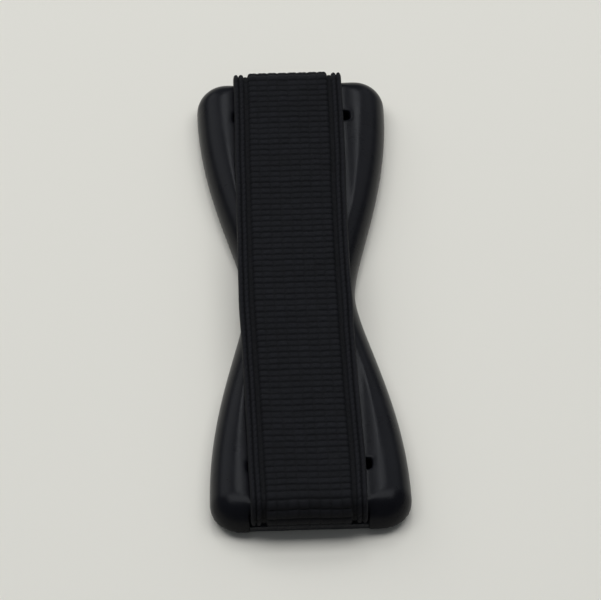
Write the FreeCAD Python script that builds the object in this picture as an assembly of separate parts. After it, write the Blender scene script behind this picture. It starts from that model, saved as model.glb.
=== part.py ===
# Elastic phone finger grip: an hourglass plate with a flat elastic strap stretched over it from end to end.
# Millimetres. The origin is the middle of the sticking face, +Y runs along the strap, and +Z points away
# from whatever the grip is stuck to.
import FreeCAD, Part
import math
import os

# Plate, seen from above
base_length = 65.4
end_width = 22.0
waist_width = 12.45
corner_radius = 3.5
waist_reach = 5.6     # how far each flank's curve runs on along Y from the waist before it flares
flare_reach = 13.7    # how far it runs on along Y into the wide end

# Plate, seen from the side
base_thickness = 3.25  # up to the bed that the strap lies in
rim_radius = 2.9      # round of the top edge
least_wall = 0.05     # upright wall that is left under that round

# Wings of the plate, which stand a little above the bed on both sides of the strap
wing_rise = 0.15      # from the bed to the crest
wing_reach = 1.2      # from the edge of the bed to the crest
wing_bulge = 0.02     # the shoulder between them stands this far above a straight slope

# Adhesive pad under the plate
pad_thickness = 0.8
pad_inset = 0.8       # from the plate's outline

# Strap, a length of woven elastic tape
strap_width = 12.7
strap_thickness = 1.35
strap_shift = -0.3    # the strap lies a little to one side of the middle
strap_overhang = 0.4  # the bend of the strap stands this far past the ends of the plate
strap_clearance = 0.05
edge_bevel = 0.35     # at the strap's lower edges, where it lies between the wings

# Weave of the strap: a panel of cross ribs between two corded edges
cords_per_edge = 2
cord_width = 0.6
cord_bevel = 0.18     # width of the sloping side of a cord
cord_drop = 0.15      # the cords' crests lie this far below the ribs' crests
groove_width = 0.45   # between the cords and the panel
groove_depth = 0.45   # below the ribs' crests
rib_pitch = 0.85
rib_height = 0.12
rib_bevel = 0.22      # width of the sloping side of a rib
rib_root = 0.3        # how deep the band of ribs is rooted in the panel
rib_margin = 0.15     # from each end of a rib to the edge of the panel
rib_wrap = 150.0      # degrees of each end bend that show ribs

# End bars that the strap goes round, and the slots beside them that take its tails
bar_length = 5.0
bar_edge_radius = 0.4
slot_slack = 0.1      # how much wider a slot is than the strap is thick
slot_margin = 0.12    # from the strap's nearer edge to the end of a slot
tail_drop = 0.4       # the tails end this far below the bed

# Levels and places that follow
base_bottom = pad_thickness
base_top = base_bottom + base_thickness
bar_bottom = base_bottom + strap_thickness + strap_clearance
bar_radius = (base_top - bar_bottom) / 2
bar_end = base_length / 2 + strap_overhang - strap_thickness - strap_clearance
bend_y = bar_end - bar_radius
bend_z = base_top - bar_radius
slot_outer = bar_end - bar_length
slot_inner = slot_outer - strap_thickness - slot_slack
slot_half_width = strap_width / 2 + abs(strap_shift) + slot_margin
notch_half_width = strap_width / 2 + strap_clearance
notch_x = strap_shift - notch_half_width
bed_half_width = strap_width / 2 - edge_bevel + abs(strap_shift)
crest_x = bed_half_width + wing_reach
crest_z = base_top + wing_rise
wing_height = crest_z - base_bottom
panel_width = strap_width - 2 * (cords_per_edge * cord_width + groove_width)
panel_level = strap_thickness - rib_height
ACROSS = FreeCAD.Vector(1, 0, 0)


def point(x, y, z):
    return FreeCAD.Vector(x, y, z)


def line(start, end):
    return Part.LineSegment(start, end).toShape()


def arc(start, middle, end):
    return Part.Arc(start, middle, end).toShape()


def face_of(edges):
    return Part.Face(Part.Wire(Part.__sortEdges__(edges)))


def mirrored(shape):
    return shape.mirror(point(0, 0, 0), point(0, 1, 0))


# Hourglass outline, shared by the plate and the pad
def hourglass(inset, level):
    half_length = base_length / 2 - inset
    half_end = end_width / 2 - inset
    half_waist = waist_width / 2 - inset
    corner = corner_radius - inset
    corner_y = half_length - corner
    corner_x = half_end - corner
    corner_middle = corner * math.sqrt(0.5)
    edges = []
    for up in (1, -1):
        for side in (1, -1):
            flank = Part.BezierCurve()
            flank.setPoles([
                point(side * half_waist, 0, level),
                point(side * half_waist, up * waist_reach, level),
                point(side * half_end, up * (corner_y - flare_reach), level),
                point(side * half_end, up * corner_y, level),
            ])
            edges.append(flank.toShape())
            edges.append(arc(
                point(side * half_end, up * corner_y, level),
                point(side * (corner_x + corner_middle), up * (corner_y + corner_middle), level),
                point(side * corner_x, up * half_length, level),
            ))
        end_y = up * half_length
        edges.append(line(point(corner_x, end_y, level), point(-corner_x, end_y, level)))
    return face_of(edges)


# Everything that is cut away for the bed of the strap, between the rounded shoulders of the wings
def bed():
    y = -base_length
    top = crest_z + base_thickness
    middle_x = (bed_half_width + crest_x) / 2
    middle_z = (base_top + crest_z) / 2 + wing_bulge
    edges = [
        line(point(-bed_half_width, y, base_top), point(bed_half_width, y, base_top)),
        line(point(-crest_x, y, top), point(crest_x, y, top)),
    ]
    for side in (1, -1):
        edges.append(arc(
            point(side * bed_half_width, y, base_top),
            point(side * middle_x, y, middle_z),
            point(side * crest_x, y, crest_z),
        ))
        edges.append(line(point(side * crest_x, y, crest_z), point(side * crest_x, y, top)))
    return face_of(edges).extrude(point(0, 2 * base_length, 0))


def top_edge(plate):
    top = max(plate.Faces, key=lambda face: face.CenterOfMass.z)
    return top.OuterWire.Edges


# Round bar at the +Y end of the plate, across the notch, with its rounded edge in the slot
def end_bar():
    edge_middle = bar_edge_radius * (1 - math.sqrt(0.5))
    x = notch_x
    edges = [
        line(point(x, slot_outer, base_top), point(x, bend_y, base_top)),
        arc(point(x, bend_y, base_top), point(x, bar_end, bend_z), point(x, bend_y, bar_bottom)),
        line(point(x, bend_y, bar_bottom), point(x, slot_outer + bar_edge_radius, bar_bottom)),
        arc(
            point(x, slot_outer + bar_edge_radius, bar_bottom),
            point(x, slot_outer + edge_middle, bar_bottom + edge_middle),
            point(x, slot_outer, bar_bottom + bar_edge_radius),
        ),
        line(point(x, slot_outer, bar_bottom + bar_edge_radius), point(x, slot_outer, base_top)),
    ]
    return face_of(edges).extrude(ACROSS * (2 * notch_half_width))


# Slot at the +Y end of the plate, and the notch beyond it that the strap's bend lies in
def end_cuts():
    height = 2 * wing_height
    slot_start = point(-slot_half_width, slot_inner, base_bottom)
    slot = Part.makeBox(2 * slot_half_width, slot_outer - slot_inner, height, slot_start)
    notch_start = point(notch_x, slot_outer, base_bottom)
    notch = Part.makeBox(2 * notch_half_width, base_length, height, notch_start)
    return [slot, notch]


def base_plate():
    plate = hourglass(0, base_bottom).extrude(point(0, 0, wing_height))
    rim = min(rim_radius, wing_height - least_wall, corner_radius - least_wall)
    plate = plate.makeFillet(rim, top_edge(plate))
    cuts = end_cuts()
    bar = end_bar()
    plate = plate.cut([bed()] + cuts + [mirrored(cut) for cut in cuts])
    return plate.fuse([bar, mirrored(bar)]).removeSplitter()


def adhesive_pad():
    return hourglass(pad_inset, 0).extrude(point(0, 0, pad_thickness))


# Cross section of the strap in the XZ plane at the given y, its flat inner face just clear of the bed
def strap_section(y, bevel):
    inner = base_top + strap_clearance
    half_width = strap_width / 2
    half_flat = half_width - bevel
    half_panel = panel_width / 2
    floor = inner + strap_thickness - groove_depth
    crest = inner + strap_thickness - cord_drop
    first_cord = half_panel + groove_width

    def at(x, z):
        return point(strap_shift + x, y, z)

    edges = [
        line(at(-half_flat, inner), at(half_flat, inner)),
        line(at(-half_panel, inner + panel_level), at(half_panel, inner + panel_level)),
    ]
    for side in (1, -1):
        edges.append(line(at(side * half_panel, inner + panel_level), at(side * half_panel, floor)))
        edges.append(line(at(side * half_panel, floor), at(side * first_cord, floor)))
        for cord in range(cords_per_edge):
            start = first_cord + cord * cord_width
            end = start + cord_width
            edges.append(line(at(side * start, floor), at(side * (start + cord_bevel), crest)))
            edges.append(line(at(side * (start + cord_bevel), crest), at(side * (end - cord_bevel), crest)))
            edges.append(line(at(side * (end - cord_bevel), crest), at(side * end, floor)))
        edges.append(line(at(side * half_width, floor), at(side * half_width, inner + bevel)))
        if bevel:
            edges.append(line(at(side * half_width, inner + bevel), at(side * half_flat, inner)))
    return face_of(edges)


# Point on the strap's outer side: run is measured along the panel from the middle, height from the inner face
def strap_point(run, height):
    side = math.copysign(1, run)
    inner_radius = bar_radius + strap_clearance
    turn = max(0, abs(run) - bend_y) / (inner_radius + panel_level)
    radius = inner_radius + height
    x = strap_shift - panel_width / 2 + rib_margin
    y = min(abs(run), bend_y) + radius * math.sin(turn)
    return point(x, side * y, bend_z + radius * math.cos(turn))


# Band of ribs across the panel, over the top and round both end bends
def rib_band():
    bend_run = (bar_radius + strap_clearance + panel_level) * math.radians(rib_wrap)
    half_run = bend_y + bend_run
    ribs = round(2 * half_run / rib_pitch)
    step = 2 * half_run / ribs
    root = panel_level - rib_root
    edges = []
    for rib in range(ribs):
        start = -half_run + rib * step
        corners = [
            strap_point(start, panel_level),
            strap_point(start + rib_bevel, strap_thickness),
            strap_point(start + step - rib_bevel, strap_thickness),
            strap_point(start + step, panel_level),
        ]
        edges.extend(line(a, b) for a, b in zip(corners, corners[1:]))
    for side in (1, -1):
        edges.append(line(strap_point(side * half_run, panel_level), strap_point(side * half_run, root)))
        edges.append(arc(
            strap_point(side * half_run, root),
            strap_point(side * (bend_y + bend_run / 2), root),
            strap_point(side * bend_y, root),
        ))
    edges.append(line(strap_point(-bend_y, root), strap_point(bend_y, root)))
    return face_of(edges).extrude(ACROSS * (panel_width - 2 * rib_margin))


# End of the strap on the +Y side: round the bar, along the underside and up into the slot
def strap_end():
    bend_axis = point(0, bend_y, bend_z)
    tail_axis = point(0, slot_outer + bar_edge_radius, bar_bottom + bar_edge_radius)
    section = strap_section(bend_y, 0)
    bend = section.revolve(bend_axis, ACROSS, -180)
    section.rotate(bend_axis, ACROSS, -180)
    under = section.extrude(point(0, tail_axis.y - bend_y, 0))
    section.translate(point(0, tail_axis.y - bend_y, 0))
    turn = section.revolve(tail_axis, ACROSS, -90)
    section.rotate(tail_axis, ACROSS, -90)
    tail = section.extrude(point(0, 0, base_top - tail_drop - tail_axis.z))
    return [bend, under, turn, tail]


def elastic_strap():
    top_run = strap_section(-bend_y, edge_bevel).extrude(point(0, 2 * bend_y, 0))
    end = strap_end()
    others = end + [mirrored(piece) for piece in end] + [rib_band()]
    return top_run.fuse(others).removeSplitter()


os.makedirs("parts", exist_ok=True)
for node in (base_plate, elastic_strap, adhesive_pad):
    node().exportStep("parts/" + node.__name__ + ".step")
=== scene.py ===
# Looks of the elastic phone finger grip: a woven strap, a moulded plate and a foam pad on a studio floor.
import math

import bpy
import numpy as np
from mathutils import Matrix, Vector


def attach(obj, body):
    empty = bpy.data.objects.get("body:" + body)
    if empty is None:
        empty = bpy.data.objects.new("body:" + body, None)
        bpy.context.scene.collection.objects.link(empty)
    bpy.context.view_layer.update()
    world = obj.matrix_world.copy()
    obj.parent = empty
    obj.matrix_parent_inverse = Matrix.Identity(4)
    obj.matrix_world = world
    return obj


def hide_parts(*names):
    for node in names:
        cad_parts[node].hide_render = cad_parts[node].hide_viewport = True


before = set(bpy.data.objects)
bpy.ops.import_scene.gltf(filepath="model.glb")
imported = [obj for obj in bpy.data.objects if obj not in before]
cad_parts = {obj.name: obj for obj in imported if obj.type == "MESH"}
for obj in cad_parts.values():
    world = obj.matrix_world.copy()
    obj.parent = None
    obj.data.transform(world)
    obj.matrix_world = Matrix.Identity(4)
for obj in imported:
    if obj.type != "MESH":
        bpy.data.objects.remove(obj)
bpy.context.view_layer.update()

MM = 0.001
rng = np.random.default_rng(7)

# Sizes in millimetres, as in the solids
BASE_LENGTH = 65.4
END_WIDTH = 22.0
WAIST_WIDTH = 12.45
CORNER_RADIUS = 3.5
WAIST_REACH = 5.6
FLARE_REACH = 13.7
BASE_THICKNESS = 3.25
PAD_THICKNESS = 0.8
PAD_INSET = 0.8
STRAP_WIDTH = 12.7
STRAP_THICKNESS = 1.35
STRAP_SHIFT = -0.3
STRAP_OVERHANG = 0.4
STRAP_CLEARANCE = 0.05
BAR_LENGTH = 5.0
BAR_EDGE_RADIUS = 0.4
TAIL_DROP = 0.4

# Places that follow, as in the solids
BASE_TOP = PAD_THICKNESS + BASE_THICKNESS
STRAP_INNER_Z = BASE_TOP + STRAP_CLEARANCE
BAR_BOTTOM = PAD_THICKNESS + STRAP_THICKNESS + STRAP_CLEARANCE
BAR_RADIUS = (BASE_TOP - BAR_BOTTOM) / 2
BAR_END = BASE_LENGTH / 2 + STRAP_OVERHANG - STRAP_THICKNESS - STRAP_CLEARANCE
BEND_Y = BAR_END - BAR_RADIUS
BEND_Z = BASE_TOP - BAR_RADIUS
BEND_RADIUS = BAR_RADIUS + STRAP_CLEARANCE
TAIL_Y = BAR_END - BAR_LENGTH + BAR_EDGE_RADIUS
TAIL_Z = BAR_BOTTOM + BAR_EDGE_RADIUS
TAIL_RADIUS = BAR_EDGE_RADIUS + STRAP_CLEARANCE
TAIL_TOP = BASE_TOP - TAIL_DROP


# Objects and meshes

def add_object(name, data):
    made = bpy.data.objects.new(name, data)
    bpy.context.scene.collection.objects.link(made)
    return made


def shade_smooth(mesh):
    mesh.polygons.foreach_set("use_smooth", [True] * len(mesh.polygons))


def new_piece(name, points, faces):
    """An object of smooth faces, from points in millimetres."""
    mesh = bpy.data.meshes.new(name)
    mesh.from_pydata([tuple(p) for p in np.asarray(points, float) * MM], [], faces)
    mesh.update()
    mesh.validate()
    shade_smooth(mesh)
    return add_object(name, mesh)


def give_points(piece, name, values):
    values = np.asarray(values, np.float32)
    layer = piece.data.attributes.new(name, "FLOAT_VECTOR", "POINT")
    layer.data.foreach_set("vector", values.ravel())


def waves(count, longest, shortest, seed):
    """Smooth seeded noise along one length, about -1 to 1."""
    draw = np.random.default_rng(seed)
    lengths = draw.uniform(shortest, longest, count)
    phases = draw.uniform(0, 2 * math.pi, count)

    def noise(x):
        x = np.asarray(x, float)
        total = sum(np.sin(2 * math.pi * x / a + b) for a, b in zip(lengths, phases))
        return total / math.sqrt(count)

    return noise


# Strap: the tape's cross section, with its weave, carried along its path

CORD = 0.6
CORD_DROP = 0.15
GROOVE = 0.45
GROOVE_DEPTH = 0.5
GROOVE_RIPPLE = 0.05
# The grooves' level in the painted sheen, kept low so that they take painted shade
GROOVE_PAINTED_SHEEN = 0.1
SIDE_HEIGHT = 0.6
BOW = -0.35

# Ribs run across the tape and wales along it; line and bead depths are shares of a rib's or a cord's height
RIBS = 100
RIB_DEPTH = 0.2
RIB_POWER = 2.2
WALES = 8
UNEVEN = 0.10
LINE_POWER = 3
LINE_DEPTH = 0.52
LINE_DEEPER = 0.12
HALF_LINE_DEPTH = 0.16
HALF_LINE_WIDTH = 0.10
BEAD_LIMIT = 1.08
SHOULDER = 0.35
CORD_BEAD = 0.26
RIM_BEAD = 0.06

# How far the threads wander along and across the tape, and the slant of those round the cords
DRIFT = 0.03
DRIFT_SLANT = 3
LEAN = 0.02
SWAY = 0.03
CORD_TWIST = 0.34

# Where the mesh has its rows and columns, as shares of a rib, a wale, a groove and a cord
ROWS_IN_RIB = (0.0, 0.1, 0.28, 0.5, 0.72, 0.9)
COLUMNS_IN_WALE = (0.0, 0.07, 0.16, 0.3, 0.42, 0.5, 0.58, 0.7, 0.84, 0.93)
COLUMNS_IN_GROOVE = (0.3, 0.7)
COLUMNS_IN_CORD = (0.0, 0.08, 0.22, 0.4, 0.6, 0.78, 0.92)
COLUMNS_AT_EDGE = (0.98, 1.0)
INNER_COLUMNS_AT_EDGE = (0.02, 0.08, 0.22, 0.5)
INNER_COLUMNS = 11

HALF_WIDTH = STRAP_WIDTH / 2
HALF_THICK = STRAP_THICKNESS / 2
HALF_PANEL = HALF_WIDTH - 2 * CORD - GROOVE
WALE = 2 * HALF_PANEL / WALES
CORD_START = HALF_PANEL + GROOVE
LAST_CORD = HALF_WIDTH - CORD / 2
CORD_CREST = STRAP_THICKNESS - CORD_DROP
GROOVE_FLOOR = STRAP_THICKNESS - GROOVE_DEPTH

# Half of the path at mid thickness: the top, the end bend, the underside, the turn up and the tail
RUNS = [
    BEND_Y,
    math.pi * (BEND_RADIUS + HALF_THICK),
    BEND_Y - TAIL_Y,
    math.pi / 2 * (TAIL_RADIUS + HALF_THICK),
    TAIL_TOP - TAIL_Z,
]
STRAP_LENGTH = 2 * sum(RUNS)


def on_path(run, height):
    """Y and Z of points at a run along the strap from its middle, and a height above its inner face."""
    side = np.sign(run)
    ends = np.cumsum(RUNS)
    left = np.abs(run)
    bend = (left - ends[0]) / (BEND_RADIUS + HALF_THICK)
    turn = (left - ends[2]) / (TAIL_RADIUS + HALF_THICK)
    places = [
        (left, STRAP_INNER_Z + height),
        (BEND_Y + (BEND_RADIUS + height) * np.sin(bend), BEND_Z + (BEND_RADIUS + height) * np.cos(bend)),
        (BEND_Y - (left - ends[1]), BEND_Z - BEND_RADIUS - height),
        (TAIL_Y - (TAIL_RADIUS + height) * np.sin(turn), TAIL_Z - (TAIL_RADIUS + height) * np.cos(turn)),
        (TAIL_Y - TAIL_RADIUS - height, TAIL_Z + (left - ends[3])),
    ]
    which = np.searchsorted(ends[:4], left, side="left")
    y = np.choose(which, [p[0] for p in places])
    z = np.choose(which, [p[1] for p in places])
    return side * y, z


def strap_columns():
    """X of the outer side's columns, from one edge to the other, and of the inner side's columns back."""
    panel = [-HALF_PANEL + (w + t) * WALE for w in range(WALES) for t in COLUMNS_IN_WALE] + [HALF_PANEL]
    edge = [HALF_PANEL + GROOVE * t for t in COLUMNS_IN_GROOVE]
    edge += [CORD_START + CORD * t for t in COLUMNS_IN_CORD]
    edge += [CORD_START + CORD * (1 + t) for t in COLUMNS_IN_CORD + COLUMNS_AT_EDGE]
    outer = [-x for x in reversed(edge)] + panel + edge
    inner = [HALF_WIDTH - CORD * t for t in INNER_COLUMNS_AT_EDGE]
    inner += list(np.linspace(LAST_CORD, -LAST_CORD, INNER_COLUMNS + 2)[1:-1])
    inner += [-HALF_WIDTH + CORD * t for t in reversed(INNER_COLUMNS_AT_EDGE)]
    return np.array(outer), np.array(inner)


def tube_faces(n_rows, n_loop):
    """Faces of a tube whose rows are closed loops, with both of its ends closed."""
    faces = []
    for r in range(n_rows - 1):
        a, b = r * n_loop, (r + 1) * n_loop
        for c in range(n_loop):
            d = (c + 1) % n_loop
            faces.append((a + c, a + d, b + d, b + c))
    faces.append(tuple(range(n_loop - 1, -1, -1)))
    faces.append(tuple(range((n_rows - 1) * n_loop, n_rows * n_loop)))
    return faces


def strap_mesh():
    """The strap's points and faces, and for each point its values in the weave and its place in the cloth."""
    pitch = STRAP_LENGTH / RIBS
    half_length = STRAP_LENGTH / 2
    rows = [(rib, t) for rib in range(RIBS) for t in ROWS_IN_RIB] + [(RIBS, 0.0)]
    rib_of = np.array([min(r, RIBS - 1) for r, t in rows])
    rib_phase = np.array([t for r, t in rows])
    run = np.array([(r + t) * pitch for r, t in rows]) - half_length

    outer_x, inner_x = strap_columns()
    x = outer_x[None, :] + 0 * run[:, None]
    ax = np.abs(x)
    n_rows, n_outer = x.shape
    n_inner = len(inner_x)

    # Ribs of the panel, each a rounded ridge with its own height, crossed by the lines between the wales
    cells = (RIBS, WALES + 1)
    ridge = np.sqrt(np.clip(1 - np.abs(2 * rib_phase - 1) ** RIB_POWER, 0, 1))[:, None]
    rib_high = (1 + UNEVEN * rng.standard_normal(RIBS))[rib_of][:, None]
    cell_high = 1 + UNEVEN * rng.standard_normal(cells)
    place = np.clip((outer_x + HALF_PANEL) / WALE, 0, WALES - 1e-6)
    wale_of = place.astype(int)
    across = (place - wale_of)[None, :]
    at_line = np.abs(2 * across - 1) ** LINE_POWER
    at_half = np.exp(-((across - 0.5) / HALF_LINE_WIDTH) ** 2)
    odd = (rib_of % 2)[:, None]
    bind = at_line * (LINE_DEPTH + LINE_DEEPER * (1 - odd)) + at_half * HALF_LINE_DEPTH * odd
    bead = ridge * rib_high * cell_high[rib_of][:, wale_of] * (1 - bind)
    shoulder = np.clip((HALF_PANEL - ax) / SHOULDER, 0, 1)
    shoulder = np.sqrt(1 - (1 - shoulder) ** 2)
    panel_high = STRAP_THICKNESS - RIB_DEPTH + RIB_DEPTH * np.clip(bead, 0, BEAD_LIMIT)
    panel_high = GROOVE_FLOOR + (panel_high - GROOVE_FLOOR) * shoulder

    # Cords of the edges, beaded by the threads that turn round them
    beads = 1 - CORD_BEAD + CORD_BEAD * ridge * rib_high
    cord_place = np.clip((ax - CORD_START) / CORD, 0, 2)
    cord_t = cord_place - np.clip(np.floor(cord_place), 0, 1)
    hump = np.sqrt(np.clip(1 - (2 * cord_t - 1) ** 2, 0, 1))
    cord_high = GROOVE_FLOOR + (CORD_CREST - GROOVE_FLOOR) * hump * beads
    rim_high = SIDE_HEIGHT + (CORD_CREST - SIDE_HEIGHT) * hump * (1 - RIM_BEAD + RIM_BEAD * beads)
    cord_high = np.where(ax > LAST_CORD, rim_high, cord_high)
    groove_high = GROOVE_FLOOR + GROOVE_RIPPLE * ridge
    high = np.where(ax <= HALF_PANEL, panel_high, np.where(ax < CORD_START, groove_high, cord_high))

    # The threads wander a little along and across the tape, and slant round the cords
    drift = waves(count=6, longest=30.0, shortest=5.0, seed=11)
    lean = waves(count=4, longest=60.0, shortest=14.0, seed=12)
    sway = waves(count=6, longest=26.0, shortest=6.0, seed=13)
    run_at = run[:, None] + DRIFT * drift(run[:, None] + DRIFT_SLANT * x)
    run_at = run_at + LEAN * x / HALF_WIDTH * lean(run)[:, None]
    run_at = run_at + np.where(ax > CORD_START, CORD_TWIST * (cord_t - 0.5) * np.sign(x), 0)
    run_at[0], run_at[-1] = run[0], run[-1]
    x_at = x - SWAY * sway(run)[:, None] * (ax / HALF_WIDTH) ** 2 * np.sign(x)

    # The inner side is plain, with rounded edges
    inner_t = np.clip((np.abs(inner_x) - LAST_CORD) / (CORD / 2), 0, 1)
    inner_high = SIDE_HEIGHT * (1 - np.sqrt(1 - inner_t ** 2))
    all_x = np.hstack([x_at, np.tile(inner_x, (n_rows, 1))])
    all_high = np.hstack([high, np.tile(inner_high, (n_rows, 1))])
    all_run = np.hstack([run_at, np.tile(run[:, None], (1, n_inner))])
    all_run = np.clip(all_run, -half_length, half_length)
    y, z = on_path(all_run, all_high)

    # Between the ends the tape lies in a slight bow to one side
    bow = BOW * (1 - np.clip(np.abs(run) / BEND_Y, 0, 1) ** 2) ** 2
    points = np.stack([all_x + bow[:, None] + STRAP_SHIFT, y, z], axis=-1)
    faces = tube_faces(n_rows, n_outer + n_inner)

    # Values for the material: height in the weave, which paints the crests lighter as painted sheen and the
    # hollows, grooves and inner side darker as painted shade, each thread's own tone, and 1 on cords and
    # inner side
    painted_sheen = np.where(ax < CORD_START, GROOVE_PAINTED_SHEEN, hump * beads)
    painted_sheen = np.where(ax <= HALF_PANEL, bead * shoulder, painted_sheen)
    tone = rng.uniform(0, 1, (RIBS, n_outer))[rib_of]
    tone = np.where(ax <= HALF_PANEL, rng.uniform(0, 1, cells)[rib_of][:, wale_of], tone)
    weave = np.zeros(all_x.shape + (3,))
    weave[:, :n_outer, 0] = np.clip(painted_sheen, 0, 1)
    weave[:, :n_outer, 1] = tone
    weave[:, :, 2] = np.hstack([ax > CORD_START, np.ones((n_rows, n_inner))])
    cloth = np.stack([all_x, all_run, all_high], axis=-1)
    return points.reshape(-1, 3), faces, weave.reshape(-1, 3), cloth.reshape(-1, 3)


# Plate: the solid with the small rounds that its moulded edges have

WELD_REACH = 0.001
EDGE_GRID = 0.2
EDGE_PULL = 0.5
EDGE_PASSES = 6


def moulded_plate(solid):
    mould = add_object("mould", solid.data.copy())
    weld = mould.modifiers.new("weld", "WELD")
    weld.merge_threshold = WELD_REACH * MM
    grid = mould.modifiers.new("grid", "REMESH")
    grid.mode = "VOXEL"
    grid.voxel_size = EDGE_GRID * MM
    rounds = mould.modifiers.new("rounds", "SMOOTH")
    rounds.factor = EDGE_PULL
    rounds.iterations = EDGE_PASSES
    depsgraph = bpy.context.evaluated_depsgraph_get()
    mesh = bpy.data.meshes.new_from_object(mould.evaluated_get(depsgraph))
    bpy.data.objects.remove(mould)
    mesh.name = "moulded_plate"
    shade_smooth(mesh)
    return add_object("moulded_plate", mesh)


# Pad: die-cut foam tape on the plate's outline

FLANK_STEPS = 400
PAD_ROWS = 161
PAD_CORNER_ROWS = 14
PAD_COLUMNS = 29

# Heights of the pad's cut edge, each with how far the edge stands in there
PAD_LEVELS = ((0.0, 0.10), (0.05, 0.03), (0.15, 0.0), (0.4, -0.02), (0.65, 0.0), (0.75, 0.03), (0.8, 0.10))
CUT_ROUGHNESS = 0.015
CUT_ACROSS = 40
CUT_UP = 17
DIMPLE = 0.012
DIMPLE_LIMIT = 0.03
SKIN_ACROSS = (3, 11)


def hourglass_half_width(y, inset):
    """Half the outline's width at each y, inset from the plate's edge."""
    half_length = BASE_LENGTH / 2 - inset
    half_end = END_WIDTH / 2 - inset
    half_waist = WAIST_WIDTH / 2 - inset
    corner = CORNER_RADIUS - inset
    corner_y = half_length - corner
    t = np.linspace(0, 1, FLANK_STEPS)
    weights = np.array([(1 - t) ** 3, 3 * t * (1 - t) ** 2, 3 * t ** 2 * (1 - t), t ** 3])
    flank_x = np.array([half_waist, half_waist, half_end, half_end]) @ weights
    flank_y = np.array([0.0, WAIST_REACH, corner_y - FLARE_REACH, corner_y]) @ weights
    y = np.abs(np.asarray(y, float))
    along = np.interp(y, flank_y, flank_x)
    over = np.clip(y - corner_y, 0, corner)
    round_corner = half_end - corner + np.sqrt(np.clip(corner ** 2 - over ** 2, 0, None))
    return np.where(y <= corner_y, along, round_corner)


def pad_mesh():
    half_length = BASE_LENGTH / 2 - PAD_INSET
    corner = CORNER_RADIUS - PAD_INSET
    straight = np.linspace(-1, 1, PAD_ROWS) * (half_length - corner)
    quarter = np.linspace(0, math.pi / 2, PAD_CORNER_ROWS + 1)[1:]
    turn = np.sin(quarter) * corner + half_length - corner
    stations = np.concatenate([-turn[::-1], straight, turn])
    columns = np.sin(np.linspace(-math.pi / 2, math.pi / 2, PAD_COLUMNS))
    widths = hourglass_half_width(stations, PAD_INSET)
    cut = waves(count=9, longest=6.0, shortest=0.7, seed=21)
    skin = waves(count=7, longest=9.0, shortest=2.0, seed=22)
    n_y, n_x, top = len(stations), len(columns), len(PAD_LEVELS) - 1

    # Whole faces at the bottom and the top, and only the edge between them
    points, faces = [], []
    index = {}
    for level, (z, inset) in enumerate(PAD_LEVELS):
        is_face = level in (0, top)
        for j, y in enumerate(stations):
            for i, c in enumerate(columns):
                on_edge = i in (0, n_x - 1) or j in (0, n_y - 1)
                if not (is_face or on_edge):
                    continue
                rough = 0.0 if is_face else CUT_ROUGHNESS * float(cut(y + CUT_ACROSS * c + CUT_UP * z))
                width = widths[j] - inset - rough
                length = (half_length - inset - rough) / half_length
                dimple = 0.0
                if is_face and not on_edge:
                    uneven = float(skin(y + SKIN_ACROSS[0] * c)) * float(skin(SKIN_ACROSS[1] * c - y))
                    dimple = min(max(DIMPLE * (1 + uneven) / 2, 0), DIMPLE_LIMIT)
                    dimple = dimple if level == 0 else -dimple
                index[level, j, i] = len(points)
                points.append((c * width, y * length, z + dimple))

    for level, step in ((0, -1), (top, 1)):
        for j in range(n_y - 1):
            for i in range(n_x - 1):
                quad = ((j, i), (j, i + 1), (j + 1, i + 1), (j + 1, i))
                faces.append(tuple(index[level, *at] for at in quad[::step]))
    ring = [(0, i) for i in range(n_x)] + [(j, n_x - 1) for j in range(1, n_y)]
    ring += [(n_y - 1, i) for i in range(n_x - 2, -1, -1)] + [(j, 0) for j in range(n_y - 2, 0, -1)]
    for level in range(top):
        for a, b in zip(ring, ring[1:] + ring[:1]):
            faces.append((index[level, *a], index[level, *b], index[level + 1, *b], index[level + 1, *a]))
    return points, faces


# Materials

# Sockets of a Mix node of colours go by number, because those of its other kinds have the same names
MIX_FACTOR, MIX_A, MIX_B, MIX_RESULT = 0, 6, 7, 2


class Nodes:
    """A material's node tree, with a short way to add and join nodes."""

    def __init__(self, name):
        self.material = bpy.data.materials.new(name)
        self.material.use_nodes = True
        self.tree = self.material.node_tree
        self.shader = self.tree.nodes["Principled BSDF"]

    def feed(self, socket, value):
        if isinstance(value, bpy.types.NodeSocket):
            self.tree.links.new(value, socket)
        else:
            socket.default_value = value

    def add(self, kind, inputs=None, **settings):
        node = self.tree.nodes.new("ShaderNode" + kind)
        for key, value in settings.items():
            setattr(node, key, value)
        for key, value in (inputs or {}).items():
            self.feed(node.inputs[key], value)
        return node

    def noise(self, where, scale, detail, roughness):
        inputs = {"Vector": where, "Scale": scale, "Detail": detail, "Roughness": roughness}
        return self.add("TexNoise", inputs).outputs["Fac"]

    def scaled(self, where, scale):
        return self.add("Mapping", {"Vector": where, "Scale": scale}).outputs["Vector"]

    def spread(self, value, source, target, kind="LINEAR"):
        """Carries a value from one range over to another."""
        ends = zip(("From Min", "From Max", "To Min", "To Max"), source + target)
        return self.add("MapRange", {"Value": value, **dict(ends)}, interpolation_type=kind).outputs["Result"]

    def math(self, operation, a, b):
        return self.add("Math", {0: a, 1: b}, operation=operation).outputs["Value"]

    def mix(self, factor, a, b):
        inputs = {MIX_FACTOR: factor, MIX_A: a, MIX_B: b}
        return self.add("Mix", inputs, data_type="RGBA").outputs[MIX_RESULT]

    def bump(self, height, distance, strength=1.0, normal=None):
        inputs = {"Height": height, "Distance": distance * MM, "Strength": strength}
        if normal is not None:
            inputs["Normal"] = normal
        return self.add("Bump", inputs).outputs["Normal"]

    def set(self, **inputs):
        for key, value in inputs.items():
            self.feed(self.shader.inputs[key.replace("_", " ")], value)
        return self.material


def grey(value, blue=1.0):
    return (value, value, value * blue, 1)


UNIT = (0.0, 1.0)
NOISE_RANGE = (0.3, 0.7)

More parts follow.
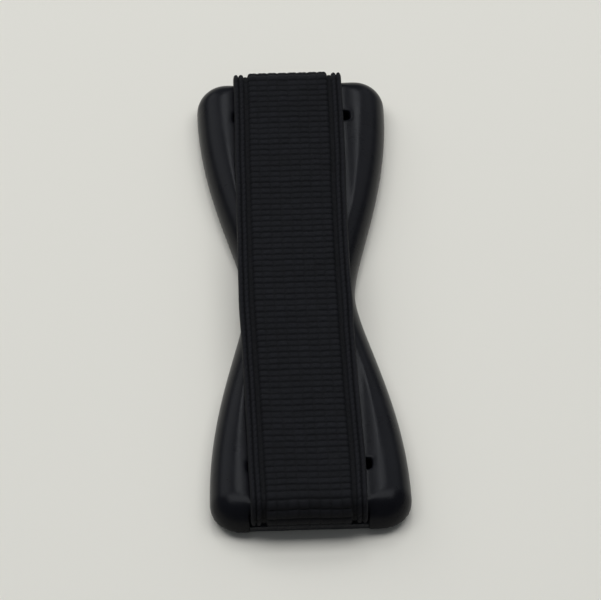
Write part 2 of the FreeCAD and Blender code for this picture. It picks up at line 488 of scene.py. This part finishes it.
PLATE_BLACK = grey(0.0040, 1.35)
PLATE_PALER = grey(0.0060, 1.30)
PLATE_RUBBED = grey(0.016, 1.05)
PLATE_ROUGHNESS = (0.26, 0.31)
RUBBED_COLOUR = 0.25
RUBBED_ROUGHNESS = 0.06

# Ends of the strap's colour, mixed by each thread's own tone and by the weave's height: crests painted
# lighter as painted sheen, hollows painted darker as painted shade
STRAP_SHADE_AND_DARK_TONE = grey(0.0012, 1.3)
STRAP_SHEEN_AND_PALE_TONE = grey(0.0085, 1.28)
STRAP_ROUGHNESS = (0.62, 0.82)
STRAP_SHEEN = (0.75, 0.78, 0.85, 1)
PAINTED_SHEEN_LEVEL = (0.16, 0.62)
THREAD_TONE = (-0.18, 0.18)
STRAND_TONE = (-0.25, 0.25)
FADE_TONE = (-0.12, 0.12)
TONE_SHARE = 0.6

# Foam colours: painted shade in the hollows of the cells, paler on the cell walls, and a random cloud
FOAM_PAINTED_SHADE = grey(0.022, 1.04)
FOAM_CREST = grey(0.05, 1.03)
FOAM_CLOUD = grey(0.034, 1.03)
FOAM_ROUGHNESS = (0.5, 0.68)

FLOOR_DARKER = (0.81, 0.77, 0.68, 1)
FLOOR_PALER = (0.83, 0.79, 0.70, 1)


def plate_plastic():
    m = Nodes("gloss_black_plastic")
    place = m.add("TexCoord")
    where = place.outputs["Object"]
    facing = m.add("SeparateXYZ", {0: place.outputs["Normal"]}).outputs["Z"]
    patches = m.noise(where, scale=220.0, detail=4.0, roughness=0.6)
    orange_peel = m.noise(where, scale=1500.0, detail=2.0, roughness=0.5)
    grain = m.noise(where, scale=6500.0, detail=2.0, roughness=0.5)
    wear = m.noise(where, scale=900.0, detail=5.0, roughness=0.7)
    rim = m.spread(facing, (0.25, 0.9), (1.0, 0.0), kind="SMOOTHSTEP")
    rubbed = m.math("MULTIPLY", rim, m.spread(wear, (0.5, 0.72), UNIT))
    colour = m.mix(m.spread(patches, NOISE_RANGE, UNIT), PLATE_BLACK, PLATE_PALER)
    colour = m.mix(m.math("MULTIPLY", rubbed, RUBBED_COLOUR), colour, PLATE_RUBBED)
    rough = m.spread(patches, NOISE_RANGE, PLATE_ROUGHNESS)
    rough = m.math("ADD", rough, m.math("MULTIPLY", rubbed, RUBBED_ROUGHNESS))
    normal = m.bump(orange_peel, distance=0.0025)
    normal = m.bump(grain, distance=0.0006, normal=normal)
    return m.set(Base_Color=colour, Roughness=rough, Normal=normal, Specular_IOR_Level=0.1)


def strap_elastic():
    m = Nodes("woven_black_elastic")
    weave = m.add("SeparateXYZ", {0: m.add("Attribute", attribute_name="weave").outputs["Vector"]})
    painted_sheen, thread, cord = (weave.outputs[axis] for axis in "XYZ")
    cloth = m.add("Attribute", attribute_name="cloth").outputs["Vector"]
    fibre = m.noise(m.scaled(cloth, (3.0, 26.0, 6.0)), scale=1.0, detail=3.0, roughness=0.6)
    twist = m.noise(m.scaled(cloth, (22.0, 5.0, 8.0)), scale=1.0, detail=3.0, roughness=0.6)
    fade = m.noise(cloth, scale=0.16, detail=3.0, roughness=0.6)
    strand = m.math("MULTIPLY", fibre, m.math("SUBTRACT", 1.0, cord))
    strand = m.math("ADD", strand, m.math("MULTIPLY", twist, cord))
    tone = m.math("ADD", m.spread(thread, UNIT, THREAD_TONE), m.spread(strand, NOISE_RANGE, STRAND_TONE))
    tone = m.math("ADD", tone, m.spread(fade, NOISE_RANGE, FADE_TONE))
    # Painted sheen on the weave's crests and painted shade in its hollows, with each thread's own tone
    level = m.math("ADD", m.spread(painted_sheen, UNIT, PAINTED_SHEEN_LEVEL), m.math("MULTIPLY", tone, TONE_SHARE))
    colour = m.mix(level, STRAP_SHADE_AND_DARK_TONE, STRAP_SHEEN_AND_PALE_TONE)
    rough = m.spread(strand, NOISE_RANGE, STRAP_ROUGHNESS)
    normal = m.bump(strand, distance=0.05, strength=0.9)
    return m.set(
        Base_Color=colour, Roughness=rough, Normal=normal, Specular_IOR_Level=0.14,
        Sheen_Weight=0.02, Sheen_Roughness=0.4, Sheen_Tint=STRAP_SHEEN,
    )


def pad_foam():
    m = Nodes("dark_foam_tape")
    where = m.add("TexCoord").outputs["Object"]
    cells = m.add("TexVoronoi", {"Vector": where, "Scale": 5200.0, "Randomness": 1.0}).outputs["Distance"]
    cloud = m.noise(where, scale=350.0, detail=4.0, roughness=0.6)
    # Painted shade: the foam is darker in its cells' hollows, where the bump sinks
    colour = m.mix(m.spread(cells, (0.1, 0.7), UNIT), FOAM_PAINTED_SHADE, FOAM_CREST)
    colour = m.mix(m.spread(cloud, (0.35, 0.65), (0.0, 0.4)), colour, FOAM_CLOUD)
    rough = m.spread(cloud, NOISE_RANGE, FOAM_ROUGHNESS)
    normal = m.bump(cells, distance=0.04, strength=0.8)
    return m.set(Base_Color=colour, Roughness=rough, Normal=normal, Specular_IOR_Level=0.4)


def floor_paper():
    m = Nodes("pale_floor")
    where = m.add("TexCoord").outputs["Object"]
    soft = m.noise(where, scale=3.0, detail=2.0, roughness=0.5)
    colour = m.mix(m.spread(soft, NOISE_RANGE, UNIT), FLOOR_DARKER, FLOOR_PALER)
    return m.set(Base_Color=colour, Roughness=0.7, Specular_IOR_Level=0.2)


# Pieces

plate = moulded_plate(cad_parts["base_plate"])
plate.data.materials.clear()
plate.data.materials.append(plate_plastic())
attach(plate, "root")
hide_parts("base_plate")

strap_points, strap_faces, strap_weave, strap_cloth = strap_mesh()
strap = new_piece("woven_strap", strap_points, strap_faces)
give_points(strap, "weave", strap_weave)
give_points(strap, "cloth", strap_cloth)
strap.data.materials.append(strap_elastic())
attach(strap, "root")
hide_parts("elastic_strap")

pad_points, pad_faces = pad_mesh()
pad = new_piece("foam_tape_pad", pad_points, pad_faces)
pad.data.materials.append(pad_foam())
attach(pad, "root")
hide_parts("adhesive_pad")


# Studio, with the floor in millimetres and the lamps in metres

FLOOR_REACH = 3000
FLOOR_Z = -0.02
SKY_COLOUR = (0.82, 0.90, 1.0, 1)
SKY_STRENGTH = 0.17
LAMP_COLOUR = (0.93, 0.96, 1.0)
LAMP_DISTANCE = 0.9

floor_corners = ((-1, -1), (1, -1), (1, 1), (-1, 1))
floor_points = [(x * FLOOR_REACH, y * FLOOR_REACH, FLOOR_Z) for x, y in floor_corners]
floor = new_piece("floor", floor_points, [(0, 1, 2, 3)])
floor.data.materials.append(floor_paper())

world = bpy.data.worlds.new("studio")
bpy.context.scene.world = world
world.use_nodes = True
sky = world.node_tree.nodes["Background"]
sky.inputs["Color"].default_value = SKY_COLOUR
sky.inputs["Strength"].default_value = SKY_STRENGTH


def softbox(name, direction, size, power):
    light = bpy.data.lights.new(name, "AREA")
    light.shape = "RECTANGLE"
    light.size, light.size_y = size
    light.energy = power
    light.color = LAMP_COLOUR
    lamp = add_object(name, light)
    lamp.location = Vector(direction).normalized() * LAMP_DISTANCE
    lamp.rotation_mode = "QUATERNION"
    lamp.rotation_quaternion = (-Vector(direction)).to_track_quat("-Z", "Y")


softbox("softbox_top", direction=(0.0, 0.20, 1.0), size=(1.4, 0.5), power=6.4)
softbox("softbox_far", direction=(0.01, 0.65, 0.76), size=(0.14, 0.25), power=0.75)
softbox("softbox_left", direction=(-0.56, 0.65, 0.53), size=(0.66, 0.5), power=1.4)
softbox("softbox_right", direction=(0.52, 0.65, 0.56), size=(0.66, 0.5), power=0.7)


# Camera: the photograph's place and angle, with a longer lens that is aimed at the grip

PHOTO_WIDTH = 601
PHOTO_FOCUS = 1712.88
CLOSER = 2.45
YAW, PITCH, ROLL = math.radians(-3.68), math.radians(49.10), math.radians(1.18)
PHOTO_AIM = Vector((6.62, 3.17, 0.0)) * MM
DISTANCE = 478.93 * MM
GRIP_AIM = Vector((0.0, -0.6, 2.0)) * MM
SENSOR_WIDTH = 36
CLIP_START = 0.01

turned = Matrix.Rotation(YAW, 3, "Z")
ahead = turned @ Vector((0, math.cos(PITCH), -math.sin(PITCH)))
upward = turned @ Vector((0, math.sin(PITCH), math.cos(PITCH)))
across = turned @ Vector((1, 0, 0))
stand = PHOTO_AIM - ahead * DISTANCE
tilted_up = math.cos(ROLL) * upward - math.sin(ROLL) * across
look = (GRIP_AIM - stand).normalized()
right = look.cross(tilted_up).normalized()
facing = Matrix((right, right.cross(look), -look)).transposed()
camera_data = bpy.data.cameras.new("camera")
camera_data.sensor_width = SENSOR_WIDTH
camera_data.lens = CLOSER * PHOTO_FOCUS / PHOTO_WIDTH * SENSOR_WIDTH
camera_data.clip_start = CLIP_START
camera = add_object("camera", camera_data)
camera.matrix_world = Matrix.Translation(stand) @ facing.to_4x4()
bpy.context.scene.camera = camera
bpy.context.scene.view_settings.view_transform = "Standard"
